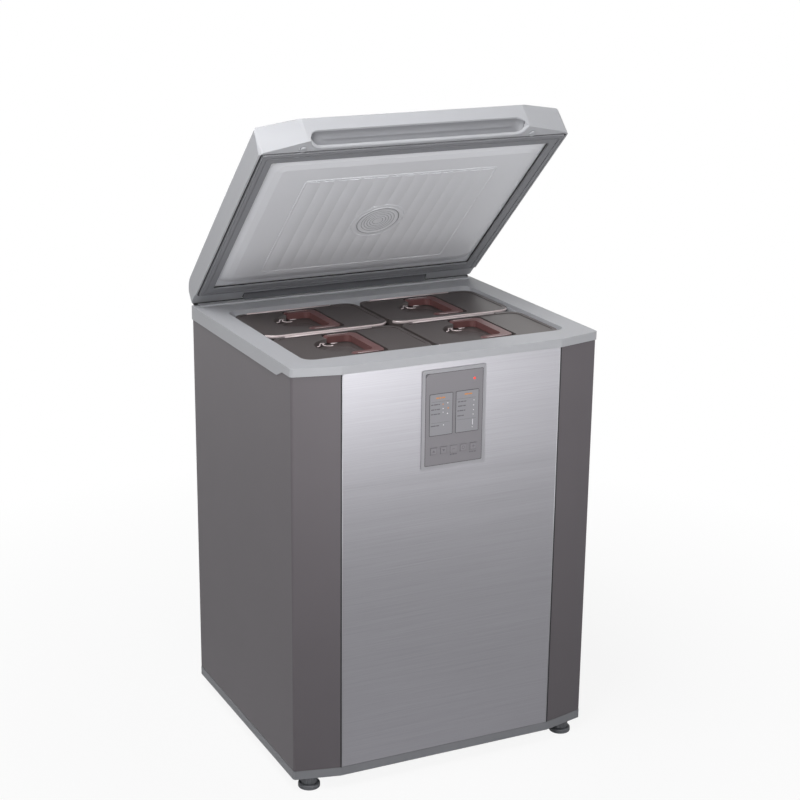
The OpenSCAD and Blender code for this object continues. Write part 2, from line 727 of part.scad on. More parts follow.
// a key: a flat cap that shows in its hole, with a stem to its switch
module key(i) {
    y0 = face_y - bezel_out;
    y1 = y0 + overlay_t + key_travel + 4;
    color([0.56, 0.55, 0.58]) translate([KEYS[i], 0, key_z]) {
        prism_y(rounded(box_plan(key_w, key_w), 1.2), y0 - 0.8, y0 - 0.8 + key_h);
        rod_y(y0 - 0.8 + key_h - EPS, y1 - key_travel - GAP, 0, 0, 2);
    }
}

// ---- hinge ----

module hinge_housing() {
    x1 = housing_l / 2;
    color([0.36, 0.37, 0.39]) difference() {
        union() {
            rod_x(-x1, x1, hinge_y, hinge_z, barrel_r, $fn = FINE);
            block([-x1, y_rear - 9, rim_z + ledge_h + 0.1], [x1, y_rear - OVER, hinge_z]);
        }
        rod_x(-x1 - OVER, x1 + OVER, hinge_y, hinge_z, pin_r);
    }
}

module hinge_pins() {
    x1 = housing_l / 2;
    color([0.75, 0.75, 0.76]) mirrored()
        rod_x(x1 - pin_in, x1 + pin_out, hinge_y, hinge_z, pin_r - 0.02);
}

// spring steel bar that takes the lid's weight
module torsion_bar() {
    x1 = housing_l / 2 - pin_in - GAP;
    color([0.45, 0.45, 0.47]) rod_x(-x1, x1, hinge_y, hinge_z, pin_r - 1);
}

// ---- lid, drawn closed and then turned open ----

module open_pose(a = lid_open) {
    translate([0, hinge_y, hinge_z]) rotate([-a, 0, 0]) translate([0, -hinge_y, -hinge_z]) children();
}

// the lid's outside in plan, side view and front view; d is the depth under it
module lid_form(d, low) {
    z1 = rim_z + lid_h - d;
    function side_x(z) = W2 - d - lid_taper * (z - rim_z - lid_edge) / (lid_h - lid_edge);
    x0 = side_x(rim_z + low);
    x1 = side_x(z1 + OVER);
    side = [[y_corner - bow - OVER + d, rim_z + low], [lid_y1 - d, rim_z + low],
            [lid_y1 - d, z1 - lid_fall], [y_corner - bow - OVER + d, z1]];
    end = [[-x0, rim_z + low], [x0, rim_z + low], [x1, z1 + OVER], [-x1, z1 + OVER]];
    intersection() {
        slab(rounded(inset(LID_PLAN, d), [for (r = [5, 5, 9, 6, 6, 9]) max(r - d, 1)]),
             rim_z + low, z1 + OVER);
        prism_x(rounded(side, [0, 1, lid_top_r - d, 3]), -W2, W2);
        prism_y(rounded(end, [0, 0, 8 - d / 2, 8 - d / 2]), y_front - OVER, lid_y1 + OVER);
    }
}

module finger_groove(r) {
    x = grip_l / 2 - grip_r;
    y = y_front - 2;
    z = rim_z + grip_up;
    rod_x(-x, x, y, z, r, $fn = FINE);
    for (s = [-1, 1]) translate([s * x, y, z]) sphere(r, $fn = FINE);
}

// the solid lugs and their wall round the hinge housing
module lug_room(d) {
    block([-housing_l / 2 - 2 - lug_w - d, hinge_y - barrel_r - 4.5 - d, rim_z - OVER],
          [housing_l / 2 + 2 + lug_w + d, lid_y1 + OVER, hinge_z + barrel_r + 4.5 + d]);
}

module lid_shell() {
    y_open = y_corner + lid_wall;
    color([0.74, 0.74, 0.76]) open_pose() difference() {
        lid_form(0, lid_edge);
        difference() {
            lid_form(lid_wall, lid_edge - OVER);
            finger_groove(grip_r + lid_wall);
            lug_room(0);
            // the bottom stays closed ahead of the front corners and behind the seat
            block([-W2, y_front - OVER, rim_z], [W2, y_open, rim_z + 12]);
            block([-W2, seat_y1 + 0.5, rim_z], [W2, lid_y1 + OVER, rim_z + lid_rear_edge + lid_wall]);
        }
        finger_groove(grip_r);
        bumper(0.05);
        // the slope under the front edge, and the raised edge above the ledge
        prism_x([[y_corner, rim_z], [y_corner, rim_z + lid_edge], [y_front - 2 * OVER,
                 rim_z + lid_front_edge + (lid_front_edge - lid_edge) * 2 * OVER / bow],
                 [y_front - 2 * OVER, rim_z]], -W2 - OVER, W2 + OVER);
        block([-W2 - OVER, seat_y1 + 0.5, rim_z], [W2 + OVER, lid_y1 + OVER, rim_z + lid_rear_edge]);
        // the gap for the hinge housing, and the pin bores
        block([-housing_l / 2 - 2, hinge_y - barrel_r - 1.5, rim_z],
              [housing_l / 2 + 2, lid_y1 + OVER, hinge_z + barrel_r + 1.5]);
        rod_x(-housing_l / 2 - pin_out - 3, housing_l / 2 + pin_out + 3, hinge_y, hinge_z, pin_r + RUN);
    }
}

module lid_foam() {
    color([0.86, 0.80, 0.60]) open_pose() {
        difference() {
            lid_form(lid_wall + GAP, flange_z + flange_t + GAP);
            finger_groove(grip_r + lid_wall + GAP);
            lug_room(GAP);
            block([-W2, y_front - OVER, rim_z], [W2, y_corner + lid_wall + GAP, rim_z + 12 + GAP]);
            block([-W2, seat_y1, rim_z], [W2, lid_y1, rim_z + lid_rear_edge + lid_wall + GAP]);
        }
        slab(opening_plan(plug_in + plug_wall + GAP), rim_z + plug_low + plug_wall + GAP,
             rim_z + flange_z + flange_t + GAP + EPS);
    }
}

module lid_liner() {
    color([0.72, 0.73, 0.74]) open_pose() {
        difference() {
            union() {
                // flange over the gasket, slope, and the plug that enters the well
                slab(rounded(SEAT, 5), rim_z + flange_z, rim_z + flange_z + flange_t);
                intersection() {
                    hull() {
                        slab(opening_plan(-plug_out), rim_z + flange_z - 0.6, rim_z + flange_z + EPS);
                        slab(opening_plan(plug_edge), rim_z + plug_mid, rim_z + flange_z);
                    }
                    slab(rounded(inset(SEAT, gasket_w + GAP), 4), rim_z, rim_z + lid_h);
                }
                hull() {
                    slab(opening_plan(plug_edge), rim_z + plug_mid, rim_z + plug_mid + 0.5);
                    slab(opening_plan(plug_in), rim_z + plug_low, rim_z + plug_low + 0.5);
                }
            }
            slab(opening_plan(plug_in + plug_wall), rim_z + plug_low + plug_wall, rim_z + lid_h);
        }
        for (i = [0:rib_count - 1]) intersection() {
            rod_y(vent_y - rib_l / 2, vent_y + rib_l / 2, (i + 0.5) * rib_pitch - rib_field / 2,
                  rim_z + plug_low - rib_rise + rib_r, rib_r, $fn = 3 * FINE);
            block([-W2, y_front, rim_z + plug_low - rib_rise - OVER],
                  [W2, y_rear, rim_z + plug_low + 0.5]);
        }
    }
}

module lid_gasket() {
    color([0.45, 0.46, 0.48]) open_pose() difference() {
        union() {
            slab(rounded(SEAT, 5), rim_z + gasket_low + 1.2, rim_z + flange_z - 0.05);
            // the soft lip that meets the rim
            slab(rounded(inset(SEAT, 3), 4), rim_z + gasket_low, rim_z + gasket_low + 1.2 + EPS);
        }
        slab(rounded(inset(SEAT, gasket_w), 4), rim_z - OVER, rim_z + flange_z + OVER);
        difference() {
            slab(rounded(inset(SEAT, 8), 4), rim_z - OVER, rim_z + gasket_low + 1.2);
            slab(rounded(inset(SEAT, 11), 4), rim_z - OVER, rim_z + gasket_low + 1.2);
        }
    }
}

module lid_vent_cap() {
    r = vent_d / 2;
    z = rim_z + plug_low - rib_rise - 0.02;
    color([0.70, 0.71, 0.72]) open_pose() translate([0, vent_y, z]) rotate([180, 0, 0])
        rotate_extrude($fn = FINE) polygon([[0, 0], [r, 0], [r - 0.6, 0.7], [r - 5, 0.7],
            [r - 6, 0.3], [0, 0.3]]);
}

module bumper(play) {
    mirrored() rod_z(rim_z + 1.4, bump_z + play, F2 + 8, y_corner - bump_r + 1.5, bump_r + play);
}

module lid_bumpers() {
    color([0.60, 0.60, 0.62]) open_pose() bumper(0);
}

// ---- containers: four in each layer ----

module tub() {
    r = tub_r;
    foot = 14;         // how much the tub narrows towards its bottom
    w = box_w - 16;
    d = box_d - 12;
    color([0.62, 0.62, 0.64]) difference() {
        union() {
            hull() {
                slab(rounded(box_plan(w - foot, d - foot), r - 4), 0, 1);
                slab(rounded(box_plan(w, d), r), tub_h - 1, tub_h);
            }
            slab(rounded(box_plan(box_w - 2 * flange_in, box_d - 2 * flange_in), box_r - 2),
                 tub_h - flange_h, tub_h);
        }
        hull() {
            slab(rounded(box_plan(w - foot - 2 * box_wall, d - foot - 2 * box_wall), r - 6),
                 box_wall, box_wall + 1);
            slab(rounded(box_plan(w - 2 * box_wall, d - 2 * box_wall), r - 2), tub_h - 1, tub_h + OVER);
        }
    }
}

module tub_lid() {
    r = box_r;
    ring = 3;          // thickness and height of the locating ring
    ring_w = box_w - 2 * ring_in;
    ring_d = box_d - 2 * ring_in;
    color([0.26, 0.25, 0.26]) difference() {
        union() {
            slab(rounded(box_plan(box_w, box_d), r), lid_z, lid_top);
            // skirt round the flange, and the inner ring that seals
            difference() {
                slab(rounded(box_plan(box_w, box_d), r), lid_z - skirt_h, lid_z + EPS);
                slab(rounded(box_plan(box_w - flange_in, box_d - flange_in), r - flange_in / 2),
                     lid_z - skirt_h - OVER, lid_z);
            }
            difference() {
                slab(rounded(box_plan(ring_w, ring_d), r - 2), lid_z - ring, lid_z + EPS);
                slab(rounded(box_plan(ring_w - 2 * ring, ring_d - 2 * ring), r - 2 - ring),
                     lid_z - ring - OVER, lid_z);
            }
        }
        // shallow panel inside a raised border, and the pocket for the handle
        slab(rounded(box_plan(box_w - 14, box_d - 18), r - 6), lid_top - 1, lid_top + OVER);
        slab(rounded([[pocket_x0, handle_y - pocket_y], [pocket_x1, handle_y - pocket_y],
                      [pocket_x1, handle_y + pocket_y], [pocket_x0, handle_y + pocket_y]], 8),
             lid_top - well_d, lid_top + OVER);
        rod_z(lid_top - well_d, lid_top + OVER, dish_x, 0, dish_r, $fn = FINE);
        rod_y(handle_y - pocket_y - 4, handle_y + pocket_y + 4, pivot_x, pivot_z, handle_pin + RUN);
        // notch for the latch, with pin holes in both ends
        block([latch_x - latch_l / 2 - MOVE, latch_y - latch_r - MOVE, latch_z - latch_r - 2],
              [latch_x + latch_l / 2 + MOVE, box_d, lid_top + OVER]);
        rod_x(latch_x - latch_l / 2 - 6, latch_x + latch_l / 2 + 6, latch_y, latch_z, latch_pin + RUN);
    }
    // round disc on the dish's floor
    color([0.30, 0.29, 0.30]) translate([dish_x, 0, lid_top - well_d - EPS]) rotate_extrude($fn = FINE)
        polygon([[0, 0], [disc_r, 0], [disc_r - 0.6, 0.6], [disc_r - 6, 0.6], [disc_r - 7, 0.2], [0, 0.2]]);
}

// a flat loop, open to one side, that stands up on two pins
module tub_handle() {
    x1 = handle_reach;
    y = handle_l / 2;
    rim = 2;
    color([0.36, 0.28, 0.28]) translate([pivot_x, handle_y, pivot_z]) {
        difference() {
            slab(rounded([[0, -y], [x1, -y], [x1, y], [0, y]], [0, 12, 12, 0]), -handle_t / 2, handle_t / 2);
            slab(rounded([[-OVER, -y + arm_w], [x1 - bar_w, -y + arm_w], [x1 - bar_w, y - arm_w],
                          [-OVER, y - arm_w]], [0, 12, 12, 0]), -handle_t, handle_t);
            // hollow underside
            slab(rounded([[8, -y + rim], [x1 - rim, -y + rim], [x1 - rim, y - rim], [8, y - rim]],
                         [0, 10, 10, 0]), -handle_t, -handle_t / 2 + 3);
        }
        difference() {
            slab(rounded([[8 - OVER, -y + arm_w - rim], [x1 - bar_w + rim, -y + arm_w - rim],
                          [x1 - bar_w + rim, y - arm_w + rim], [8 - OVER, y - arm_w + rim]],
                         [0, 14, 14, 0]), -handle_t / 2, -handle_t / 2 + 3 + EPS);
            slab(rounded([[-2 * OVER, -y + arm_w], [x1 - bar_w, -y + arm_w], [x1 - bar_w, y - arm_w],
                          [-2 * OVER, y - arm_w]], [0, 12, 12, 0]), -handle_t, handle_t);
            block([-3, -y, -handle_t], [8, y, handle_t]);
        }
        for (s = [-1, 1]) {
            rod_y(s > 0 ? y - arm_w : -y, s > 0 ? y : -y + arm_w, 0, 0, handle_t / 2);
            rod_y(s > 0 ? y - OVER : -y - 7, s > 0 ? y + 7 : -y + OVER, 0, 0, handle_pin);
        }
    }
}

// a long wing on a pin, whose hook catches under the tub's flange
module tub_latch() {
    x0 = latch_x - latch_l / 2;
    x1 = latch_x + latch_l / 2;
    out = box_d / 2 + 0.5;
    low = latch_z - latch_drop;
    color([0.50, 0.42, 0.42]) {
        rod_x(x0, x1, latch_y, latch_z, latch_r);
        rod_x(x0 - 5, x1 + 5, latch_y, latch_z, latch_pin);
        block([x0, latch_y, latch_z + 0.5], [x1, out + latch_t, latch_z + 3.7]);
        block([x0, out, low], [x1, out + latch_t, latch_z + 1]);
        block([x0, out - latch_hook, low], [x1, out + EPS, lid_z - skirt_h - MOVE]);
    }
}

module place(c, z) { translate([c[1], c[2], z]) children(); }

module lower_tubs() { for (c = CELLS) place(c, low_z) tub(); }
module lower_lids() { for (c = CELLS) place(c, low_z) tub_lid(); }
module lower_handles() { for (c = CELLS) place(c, low_z) tub_handle(); }

// ---- the whole ----

side_panel_left();
side_panel_right();
front_panel();
back_panel();
top_rim();
inner_liner();
cabinet_foam();
cooling_coil();
base_ring();
base_pan();
compressor();
compressor_mounts();
condenser();
dryer();
refrigerant_lines();
machine_cover();
cover_screws();
power_inlet();
control_bezel();
control_overlay();
display_windows();
control_board();
hinge_housing();
hinge_pins();
torsion_bar();
roller_brackets();
lower_tubs();
lower_lids();
lower_handles();
foot_left();
foot_right();
roller_left();
roller_right();
lid_shell();
lid_foam();
lid_liner();
lid_gasket();
lid_vent_cap();
lid_bumpers();
for (i = [0:4]) key(i);
for (c = CELLS) {
    place(c, top_z) tub();
    place(c, top_z) tub_lid();
    place(c, top_z) tub_handle();
    place(c, top_z) tub_latch();
}
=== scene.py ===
import json
import math

import bmesh
import bpy
from mathutils import Matrix, Vector


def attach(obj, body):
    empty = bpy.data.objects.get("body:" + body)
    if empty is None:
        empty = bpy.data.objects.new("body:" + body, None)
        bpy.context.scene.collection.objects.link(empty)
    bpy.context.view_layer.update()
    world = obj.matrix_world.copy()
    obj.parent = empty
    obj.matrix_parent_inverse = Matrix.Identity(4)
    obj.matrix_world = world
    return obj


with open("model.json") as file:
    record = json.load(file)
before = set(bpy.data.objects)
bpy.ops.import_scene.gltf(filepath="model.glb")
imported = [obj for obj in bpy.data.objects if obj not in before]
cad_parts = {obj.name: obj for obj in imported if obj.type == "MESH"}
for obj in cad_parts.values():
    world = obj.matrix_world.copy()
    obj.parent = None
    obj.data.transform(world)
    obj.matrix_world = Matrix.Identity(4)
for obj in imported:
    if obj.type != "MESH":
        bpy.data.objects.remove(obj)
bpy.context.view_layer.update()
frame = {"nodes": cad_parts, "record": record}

NODES = frame["nodes"]
MM = 0.001

# ---- camera, in the frame's metres, as the photograph was taken ----

CAMERA_AT = (-1.3979, -2.8492, 1.6026)
CAMERA_TURN = (72.6, 0.0, -24.32)
CAMERA_LENS = 79.65
CAMERA_SENSOR = 36
CAMERA_SHIFT = (0.0818, 0.0161)

# ---- light and floor, in metres and watts ----

WORLD_TINT = (0.95, 0.96, 1.0, 1)
WORLD_LIGHT = 0.06
# name, place, aim, size, power, spread in degrees
LAMPS = (
    ("left_front", (-1.9, -2.6, 2.1), (-0.1, -0.2, 0.95), (1.2, 1.2), 2.3, 48),
    ("overhead", (-0.9, -0.55, 2.9), (0, -0.2, 0.8), (1.4, 0.9), 37, 180),
    ("left_near", (-1.5, -1.3, 1.9), (0, -0.1, 1.0), (0.8, 0.8), 3.2, 90),
    ("right", (2.6, -1.6, 1.6), (0, 0, 0.6), (1.8, 1.4), 6, 180),
    ("front_low", (0.2, -2.3, 0.5), (0, 0, 1.0), (1.2, 0.9), 1.8, 50),
)
FLOOR_HALF = 9.0
FLOOR_COLOUR = (0.85, 0.85, 0.86, 1)
# share of plain white in the floor: near value, far value, and the distances where they hold
WHITE_STRAIGHT = (0.90, 1.0, 0.5, 1.5)
WHITE_MIRRORED = (0.15, 1.0, 0.3, 3.2)

# ---- the part's own sizes, in millimetres, that the pieces are set out from ----

RIM_Z = 792.0
FACE_Y = -258.0              # front of the steel panel
FLAT_HALF = 214.0            # half of the flat middle panel
PANEL_FOOT, PANEL_HEAD = 41.5, 788.6
HINGE = Vector((0, 244, 808))
LID_OPEN = 43.5              # degrees

# control panel
OVERLAY_Y = -260.4
OVERLAY = (-56, 591.5, 56, 758.5)
WINDOW_Y = -260.7
WINDOW_X, WINDOW_Z = 25.6, 683.5
WINDOW_W, WINDOW_H = 44.4, 75.0
LED_AT = (39.0, 741.5)
KEY_Y = -261.2
KEY_Z = 617.5
KEY_PITCH = 19.5
KEY_COUNT = 5

# lid, when it is closed
PLUG_Z = RIM_Z - 1.5         # face of the liner
RIB_HALF = (189, 149)        # half of the ribbed field
VENT_Y = -4.0
VENT_RING_R = 40.5
VENT_RIPPLE_R = 51.0
VENT_GROOVE_R = (10, 15.5, 21, 26.5, 32)
GRIP = (-262.0, 802.0)       # axis of the finger groove, y and z
GRIP_R = 19.6
GRIP_STRAIGHT = 190          # half of the groove's straight part
GRIP_RIDGE = 34              # degrees from straight back, where the soft ridge runs

# containers
LID_TOP = 787.5
BOX_HALF = (124.0, 84.25)
BOX_CORNER = 26.0
CELLS = {
    "rear_left": (-127.5, 70.75), "rear_right": (127.5, 70.75),
    "front_left": (-127.5, -113.75), "front_right": (127.5, -113.75),
}

BACK = (0, 1, 0)
DOWN = (0, 0, -1)
TURN_LID = (Matrix.Translation(HINGE) @ Matrix.Rotation(math.radians(-LID_OPEN), 4, "X")
            @ Matrix.Translation(-HINGE))

# ---- finishes: sRGB colour, then what differs from plain moulded plastic ----

FINISHES = {
    "side_steel": ((102, 97, 101), dict(rough=0.42, grain=0.10, scale=1800, vary=0.04, shine=0.35)),
    "zinc_steel": ((150, 152, 156), dict(rough=0.45, grain=0.05, scale=300, vary=0.12, metallic=0.7)),
    "rim_plastic": ((178, 179, 183), dict(rough=0.4, grain=0.08, scale=2200, vary=0.03, shine=0.35)),
    "base_plastic": ((138, 139, 143), dict(rough=0.45, grain=0.1, scale=2000, vary=0.03, shine=0.3)),
    # painted light: the liner's own light plastic, set lighter still for the lit underside of the open
    # lid
    "liner_plastic": ((232, 233, 237), dict(rough=0.38, grain=0.05, scale=1200, vary=0.02, shine=0.4)),
    "foam": ((226, 205, 150), dict(rough=0.9, grain=0.6, scale=700, vary=0.10)),
    "copper": ((196, 120, 84), dict(rough=0.3, grain=0.05, scale=500, vary=0.12, metallic=1.0)),
    "black_metal": ((34, 34, 36), dict(rough=0.35, grain=0.1, scale=900, vary=0.08, metallic=0.2,
                                       coat=0.3)),
    "plain_steel": ((160, 161, 164), dict(rough=0.3, grain=0.05, scale=900, vary=0.06, metallic=1.0)),
    "dark_rubber": ((30, 30, 32), dict(rough=0.7, grain=0.3, scale=1600, vary=0.08)),
    "grey_rubber": ((142, 143, 147), dict(rough=0.6, grain=0.2, scale=1600, vary=0.05, shine=0.3)),
    "bezel_plastic": ((164, 163, 168), dict(rough=0.35, grain=0.05, scale=2200, vary=0.03, shine=0.4)),
    "overlay_plastic": ((132, 129, 134), dict(rough=0.22, grain=0.02, scale=1800, vary=0.03, coat=0.4)),
    "window_plastic": ((146, 145, 150), dict(rough=0.2, grain=0.02, scale=1800, vary=0.02, coat=0.4)),
    "key_plastic": ((136, 133, 138), dict(rough=0.25, grain=0.04, scale=1800, vary=0.03, coat=0.3)),
    "board_plastic": ((30, 84, 52), dict(rough=0.35, grain=0.1, scale=800, vary=0.08)),
    "hinge_plastic": ((90, 91, 95), dict(rough=0.4, grain=0.12, scale=2000, vary=0.05)),
    "foot_plastic": ((106, 108, 112), dict(rough=0.45, grain=0.15, scale=1800, vary=0.05)),
    "lid_plastic": ((182, 183, 187), dict(rough=0.45, grain=0.05, scale=2400, vary=0.02, shine=0.3)),
    "tub_plastic": ((150, 151, 154), dict(rough=0.3, grain=0.05, scale=1400, vary=0.03)),
    "cover_plastic": ((80, 74, 73), dict(rough=0.36, grain=0.05, scale=1500, vary=0.06, shine=0.3)),
    "handle_plastic": ((108, 74, 73), dict(rough=0.34, grain=0.06, scale=1500, vary=0.05, shine=0.45)),
    "latch_plastic": ((104, 92, 94), dict(rough=0.22, grain=0.05, scale=1500, vary=0.05, metallic=0.2,
                                          coat=0.4)),
    # of the pieces that are added here
    # painted highlight: a lighter steel for the bright lines at the cut edges, the vent ring and the
    # gasket
    "painted_highlight_steel": ((176, 176, 181), dict(rough=0.3, grain=0.04, scale=1500, vary=0.05, metallic=0.6)),
    # black for the dark lines round the windows and cover sheet, and painted shade in the seams, gaps
    # and hinge slots
    "black_line_and_shade": ((22, 22, 24), dict(rough=0.6, grain=0.2, scale=1500, vary=0.10)),
    "print_dark": ((92, 90, 96), dict(rough=0.45, grain=0.05, scale=1500, vary=0.05)),
    "print_white": ((222, 222, 226), dict(rough=0.4, grain=0.05, scale=1500, vary=0.03)),
    "print_amber": ((206, 132, 62), dict(rough=0.4, grain=0.05, scale=1500, vary=0.05)),
    "print_pale": ((168, 169, 173), dict(rough=0.4, grain=0.05, scale=1500, vary=0.05)),
    # painted shade: a darker grey than the lid, for the lining of the finger groove
    "groove_painted_shade": ((136, 137, 141), dict(rough=0.4, grain=0.05, scale=1500, vary=0.05)),
    # painted highlight: a light pearl colour for the shining edges of the containers
    "painted_highlight_pearl": ((214, 200, 200), dict(rough=0.22, grain=0.03, scale=1500, vary=0.03, coat=0.4)),
}
FRONT_STEEL = (158, 157, 162)
LAMP_RED = ((190, 24, 16), (230, 60, 40))

# ---- edge rounding of the CAD nodes, in millimetres ----

SOFT_EDGES = (
    (1.0, ("top_rim", "base_ring")),
    (1.2, ("lid_shell",)),
    (0.5, ("front_panel", "side_panel_left", "side_panel_right")),
    (0.7, ("control_bezel", "hinge_housing")),
    (0.8, tuple(f"{cell}_{part}" for cell in CELLS for part in ("lid", "handle", "latch"))),
)


def make_camera():
    data = bpy.data.cameras.new("camera")
    data.lens = CAMERA_LENS
    data.sensor_width = CAMERA_SENSOR
    data.shift_x, data.shift_y = CAMERA_SHIFT
    camera = bpy.data.objects.new("camera", data)
    camera.location = CAMERA_AT
    camera.rotation_euler = [math.radians(a) for a in CAMERA_TURN]
    bpy.context.scene.collection.objects.link(camera)
    bpy.context.scene.camera = camera


# ---- materials ----


class Graph:
    """A material's node tree, with its Principled shader."""

    def __init__(self, name):
        self.material = bpy.data.materials.new(name)
        self.material.use_nodes = True
        self.tree = self.material.node_tree
        self.tree.nodes.clear()
        self.output = self.node("ShaderNodeOutputMaterial")
        self.shader = self.node("ShaderNodeBsdfPrincipled")
        self.link(self.shader.outputs[0], self.output.inputs["Surface"])

    def node(self, kind, **values):
        made = self.tree.nodes.new(kind)
        for key, value in values.items():
            setattr(made, key, value)
        return made

    def link(self, a, b):
        self.tree.links.new(a, b)

    def place(self, stretch=(1, 1, 1)):
        """The mesh's own coordinates in metres, times stretch."""
        coords = self.node("ShaderNodeTexCoord")
        mapping = self.node("ShaderNodeMapping")
        mapping.inputs["Scale"].default_value = stretch
        self.link(coords.outputs["Object"], mapping.inputs["Vector"])
        return mapping.outputs["Vector"]

    def noise(self, scale, stretch=(1, 1, 1), detail=2.0, rough=0.5):
        made = self.node("ShaderNodeTexNoise")
        made.inputs["Scale"].default_value = scale
        made.inputs["Detail"].default_value = detail
        made.inputs["Roughness"].default_value = rough
        self.link(self.place(stretch), made.inputs["Vector"])
        return made.outputs["Fac"]

    def spread(self, value, low, high, start=0.0, end=1.0):
        """A value from start to end carried to the range from low to high."""
        made = self.node("ShaderNodeMapRange")
        made.inputs["From Min"].default_value = start
        made.inputs["From Max"].default_value = end
        made.inputs["To Min"].default_value = low
        made.inputs["To Max"].default_value = high
        self.link(value, made.inputs["Value"])
        return made.outputs["Result"]

    def colour(self, factor, a, b):
        """The base colour runs from a to b with the factor."""
        made = self.node("ShaderNodeMix", data_type="RGBA")
        self.link(factor, made.inputs["Factor"])
        made.inputs[6].default_value = (*a, 1)
        made.inputs[7].default_value = (*b, 1)
        self.link(made.outputs[2], self.shader.inputs["Base Color"])

    def bump(self, height, strength, distance):
        made = self.node("ShaderNodeBump")
        made.inputs["Strength"].default_value = strength
        made.inputs["Distance"].default_value = distance
        self.link(height, made.inputs["Height"])
        self.link(made.outputs["Normal"], self.shader.inputs["Normal"])

    def set(self, **values):
        for key, value in values.items():
            self.shader.inputs[key.replace("_", " ")].default_value = value


def linear(rgb, factor=1.0):
    """An sRGB colour of 0 to 255 as linear light, times factor."""
    shares = (c / 255 for c in rgb)
    return tuple((c / 12.92 if c <= 0.04045 else ((c + 0.055) / 1.055) ** 2.4) * factor for c in shares)


def moulded(name, rgb, rough, grain, scale, vary, metallic=0.0, coat=0.0, shine=0.5):
    """Moulded plastic: fine grain, faint clouds of colour and gloss."""
    g = Graph(name)
    clouds = g.noise(9.0)
    g.colour(clouds, linear(rgb, 1 - vary), linear(rgb, 1 + vary))
    fine = g.noise(scale)
    g.link(g.spread(fine, rough * 0.85, rough * 1.15), g.shader.inputs["Roughness"])
    g.bump(fine, grain, 0.0002)
    g.set(Metallic=metallic, Coat_Weight=coat, Coat_Roughness=0.08, Specular_IOR_Level=shine)
    return g.material


def brushed(name, rgb, rough=0.32, metallic=0.92, vary=0.2, lines=900.0):
    """Brushed sheet metal: fine level lines, in colour, gloss and height."""
    g = Graph(name)
    along = (0.006, 1, 1)
    streaks = g.noise(lines, along, detail=4.0, rough=0.7)
    broad = g.noise(60.0, along)
    g.colour(streaks, linear(rgb, 1 - vary), linear(rgb, 1 + vary))
    g.link(g.spread(broad, rough * 0.85, rough * 1.2), g.shader.inputs["Roughness"])
    g.bump(streaks, 0.12, 0.0001)
    g.set(Metallic=metallic, Anisotropic=0.6)
    tangent = g.node("ShaderNodeTangent", direction_type="RADIAL", axis="Z")
    g.link(tangent.outputs[0], g.shader.inputs["Tangent"])
    return g.material


def lit_lens(name, dim, bright):
    """A clear coloured lens with a lit heart."""
    g = Graph(name)
    g.colour(g.noise(400.0, detail=1.0), linear(dim), linear(bright))
    g.set(Roughness=0.15, Emission_Color=(1.0, 0.05, 0.03, 1), Emission_Strength=0.6)
    return g.material


def make_materials():
    made = {name: moulded(name, rgb, **values) for name, (rgb, values) in FINISHES.items()}
    made["front_steel"] = brushed("front_steel", FRONT_STEEL)
    made["lamp_red"] = lit_lens("lamp_red", *LAMP_RED)
    return made


def dress_frame(materials):
    """Gives every CAD node the finish of its material slot."""
    for row in frame["record"]["subparts"]:
        mesh = NODES[row["node"]].data
        mesh.materials.clear()
        mesh.materials.append(materials[row["material_slot"]])


def soften_frame():
    """Rounds the sharp edges of the CAD nodes that show."""
    for width, names in SOFT_EDGES:
        for name in names:
            weld = NODES[name].modifiers.new("weld", "WELD")
            weld.merge_threshold = 0.01 * MM
            bevel = NODES[name].modifiers.new("bevel", "BEVEL")
            bevel.width = width * MM
            bevel.segments = 2
            bevel.limit_method = "ANGLE"
            bevel.angle_limit = math.radians(35)
            bevel.harden_normals = True
            bevel.use_clamp_overlap = True


# ---- pieces, built in millimetres ----


def circle(x, y, r, count=24, start=0.0, sweep=360.0):
    """Points of a circle or arc in a plane, anticlockwise."""
    steps = count if abs(sweep) >= 360 else count - 1
    return [(x + r * math.cos(math.radians(start + sweep * i / steps)),
             y + r * math.sin(math.radians(start + sweep * i / steps))) for i in range(count)]


def rounded(x0, y0, x1, y1, r, count=5):
    """A rectangle with rounded corners, anticlockwise."""
    r = min(r, (x1 - x0) / 2, (y1 - y0) / 2)
    corners = ((x1 - r, y0 + r, -90), (x1 - r, y1 - r, 0), (x0 + r, y1 - r, 90), (x0 + r, y0 + r, 180))
    return [p for x, y, a in corners for p in circle(x, y, r, count, a, 90)]


def level(points, z):
    """Points of a plane, at one height."""
    return [(x, y, z) for x, y in points]


